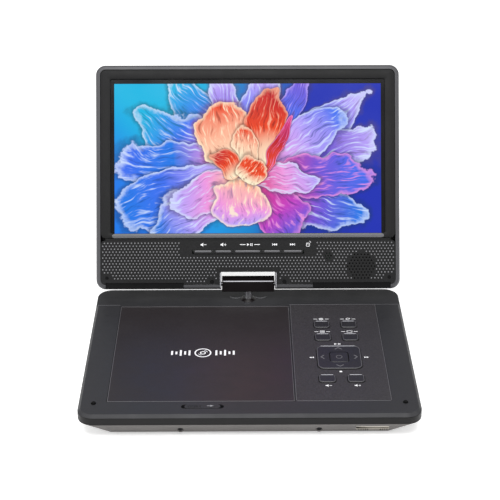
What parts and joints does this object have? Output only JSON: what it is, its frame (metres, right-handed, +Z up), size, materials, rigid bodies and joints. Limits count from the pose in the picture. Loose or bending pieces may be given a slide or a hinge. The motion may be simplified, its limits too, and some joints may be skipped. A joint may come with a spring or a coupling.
{
  "type": "portable disc player",
  "caption": "Folding disc player: flat base with a lift-up disc bay, four-way keypad and ports, under a screen on a central post that swivels and tilts.",
  "frame": {"origin": "on the table, under the middle of the whole object's bounding box with the screen open", "axes": "+X to the user's right, +Y to the back, +Z up; the screen faces -Y and leans back 27 degrees"},
  "size_m": [0.253, 0.271, 0.2],
  "materials": {
    "deck_plastic": "fine moulded grain, dark grey",
    "tray_plastic": "fine moulded grain, warm grey",
    "frame_plastic": "polished black",
    "panel_plastic": "sand-blasted grain, mid grey",
    "door_plastic": "semi-gloss dark grey",
    "well_plastic": "satin black",
    "key_plastic": "satin dark grey with printed marks",
    "block_plastic": "satin black",
    "bezel_plastic": "fine grain, dark grey",
    "rim_plastic": "satin mid grey",
    "rubber": "matt black",
    "black_steel": "black oxide",
    "reader_plastic": "moulded, warm light grey",
    "steel": "bright ground steel",
    "shaft_chrome": "polished",
    "plated": "stamped, zinc plated",
    "circuit_board": "green solder mask",
    "silicone": "moulded silicone",
    "battery_foil": "foil pouch with a printed film",
    "connector_plastic": "black moulded",
    "shell_metal": "tinned steel",
    "lens_glass": "coated objective lens",
    "screw_brass": "rolled",
    "picture_glass": "lit display",
    "backlight_frame": "white moulded frame with diffuser films",
    "cone_paper": "pressed cone"
  },
  "bodies": {
    "base": {"base_bottom_cover": "tray_plastic", "base_side_frame": "frame_plastic", "base_top_cover": "deck_plastic", "keypad_panel": "panel_plastic", "disc_well": "well_plastic", "mech_chassis": "plated", "chassis_dampers": "rubber", "spindle_motor": "plated", "guide_rods": "steel", "sled_motor": "plated", "main_board": "circuit_board", "keypad_board": "circuit_board", "key_mat": "silicone", "battery_pack": "battery_foil", "io_board": "circuit_board", "audio_jacks": "connector_plastic", "dc_jack": "connector_plastic", "usb_port": "shell_metal", "card_reader": "reader_plastic", "switch_housing": "connector_plastic", "rubber_feet": "rubber", "base_screws": "black_steel", "deck_bumpers": "rubber", "swivel_bush": "block_plastic", "door_hinge_pins": "steel", "latch_spring": "steel"},
    "door": {"disc_door": "door_plastic"},
    "latch": {"latch_slider": "deck_plastic"},
    "disc_table": {"turntable": "well_plastic"},
    "sled": {"laser_sled": "plated", "laser_lens": "lens_glass"},
    "screw": {"lead_screw": "screw_brass"},
    "power_knob": {"switch_knob": "key_plastic"},
    "setup_key": {"key_setup": "key_plastic"},
    "mode_key": {"key_mode": "key_plastic"},
    "menu_key": {"key_menu": "key_plastic"},
    "display_key": {"key_display": "key_plastic"},
    "volume_down_key": {"key_volume_down": "key_plastic"},
    "volume_up_key": {"key_volume_up": "key_plastic"},
    "pad_pivot": {"dpad_pivot": "well_plastic"},
    "pad": {"dpad_rocker": "key_plastic"},
    "ok_key": {"key_ok": "key_plastic"},
    "hinge": {"hinge_block": "block_plastic", "swivel_shaft": "shaft_chrome", "swivel_nut": "steel"},
    "screen": {"screen_rear_cover": "rim_plastic", "screen_bezel": "bezel_plastic", "control_panel": "bezel_plastic", "lcd_panel": "picture_glass", "lcd_backlight": "backlight_frame", "screen_board": "circuit_board", "speaker_frame": "plated", "speaker_cone": "cone_paper", "tilt_hinges": "steel", "screen_buffers": "rubber"},
    "screen_button_1": {"screen_key_1": "key_plastic"},
    "screen_button_2": {"screen_key_2": "key_plastic"},
    "screen_button_3": {"screen_key_3": "key_plastic"},
    "screen_button_4": {"screen_key_4": "key_plastic"},
    "screen_button_5": {"screen_key_5": "key_plastic"}
  },
  "joints": [
    {"name": "screen_swivel", "type": "hinge", "parent": "base", "child": "hinge", "pos_m": [0, 0.04614, 0.0346], "axis": [0, 0, 1], "range_deg": [-90, 180]},
    {"name": "screen_tilt", "type": "hinge", "parent": "hinge", "child": "screen", "pos_m": [0, 0.04614, 0.0346], "axis": [1, 0, 0], "range_deg": [-63, 117]},
    {"name": "disc_door_hinge", "type": "hinge", "parent": "base", "child": "door", "pos_m": [-0.036, 0.02924, 0.0193], "axis": [-1, 0, 0], "range_deg": [0, 70]},
    {"name": "latch_slide", "type": "slide", "parent": "base", "child": "latch", "axis": [1, 0, 0], "range_m": [0, 0.002], "stiffness_N_per_m": 150, "springref_m": -0.001, "deforming": ["latch_spring"]},
    {"name": "disc_spin", "type": "hinge", "parent": "base", "child": "disc_table", "pos_m": [-0.036, -0.04197, 0.012], "axis": [0, 0, 1], "continuous": true},
    {"name": "sled_slide", "type": "slide", "parent": "base", "child": "sled", "axis": [0, -1, 0], "range_m": [0, 0.032]},
    {"name": "screw_turn", "type": "hinge", "parent": "base", "child": "screw", "pos_m": [-0.013, -0.08196, 0.0106], "axis": [0, 1, 0], "range_deg": [0, 3841]},
    {"name": "power_slide", "type": "slide", "parent": "base", "child": "power_knob", "axis": [0, 1, 0], "range_m": [0, 0.003]},
    {"name": "setup_press", "type": "slide", "parent": "base", "child": "setup_key", "axis": [0, 0, -1], "range_m": [0, 0.0005], "stiffness_N_per_m": 150, "springref_m": -0.001},
    {"name": "mode_press", "type": "slide", "parent": "base", "child": "mode_key", "axis": [0, 0, -1], "range_m": [0, 0.0005], "stiffness_N_per_m": 150, "springref_m": -0.001},
    {"name": "menu_press", "type": "slide", "parent": "base", "child": "menu_key", "axis": [0, 0, -1], "range_m": [0, 0.0005], "stiffness_N_per_m": 150, "springref_m": -0.001},
    {"name": "display_press", "type": "slide", "parent": "base", "child": "display_key", "axis": [0, 0, -1], "range_m": [0, 0.0005], "stiffness_N_per_m": 150, "springref_m": -0.001},
    {"name": "volume_down_press", "type": "slide", "parent": "base", "child": "volume_down_key", "axis": [0, 0, -1], "range_m": [0, 0.0005], "stiffness_N_per_m": 150, "springref_m": -0.001},
    {"name": "volume_up_press", "type": "slide", "parent": "base", "child": "volume_up_key", "axis": [0, 0, -1], "range_m": [0, 0.0005], "stiffness_N_per_m": 150, "springref_m": -0.001},
    {"name": "pad_rock_front_back", "type": "hinge", "parent": "base", "child": "pad_pivot", "pos_m": [0.07, -0.05436, 0.018], "axis": [1, 0, 0], "range_deg": [-1.2, 1.2], "stiffness_Nm_per_rad": 0.05},
    {"name": "pad_rock_left_right", "type": "hinge", "parent": "pad_pivot", "child": "pad", "pos_m": [0.07, -0.05436, 0.018], "axis": [0, 1, 0], "range_deg": [-1.2, 1.2], "stiffness_Nm_per_rad": 0.05},
    {"name": "ok_press", "type": "slide", "parent": "base", "child": "ok_key", "axis": [0, 0, -1], "range_m": [0, 0.0005], "stiffness_N_per_m": 150, "springref_m": -0.001},
    {"name": "screen_button_1_press", "type": "slide", "parent": "screen", "child": "screen_button_1", "axis": [0, 0.891, -0.454], "range_m": [0, 0.0004], "stiffness_N_per_m": 60, "springref_m": -0.001},
    {"name": "screen_button_2_press", "type": "slide", "parent": "screen", "child": "screen_button_2", "axis": [0, 0.891, -0.454], "range_m": [0, 0.0004], "stiffness_N_per_m": 60, "springref_m": -0.001},
    {"name": "screen_button_3_press", "type": "slide", "parent": "screen", "child": "screen_button_3", "axis": [0, 0.891, -0.454], "range_m": [0, 0.0004], "stiffness_N_per_m": 60, "springref_m": -0.001},
    {"name": "screen_button_4_press", "type": "slide", "parent": "screen", "child": "screen_button_4", "axis": [0, 0.891, -0.454], "range_m": [0, 0.0004], "stiffness_N_per_m": 60, "springref_m": -0.001},
    {"name": "screen_button_5_press", "type": "slide", "parent": "screen", "child": "screen_button_5", "axis": [0, 0.891, -0.454], "range_m": [0, 0.0004], "stiffness_N_per_m": 60, "springref_m": -0.001}
  ],
  "couplings": [
    {"joint": "screw_turn", "follows": "sled_slide", "rad_per_m": 2094.4}
  ]
}
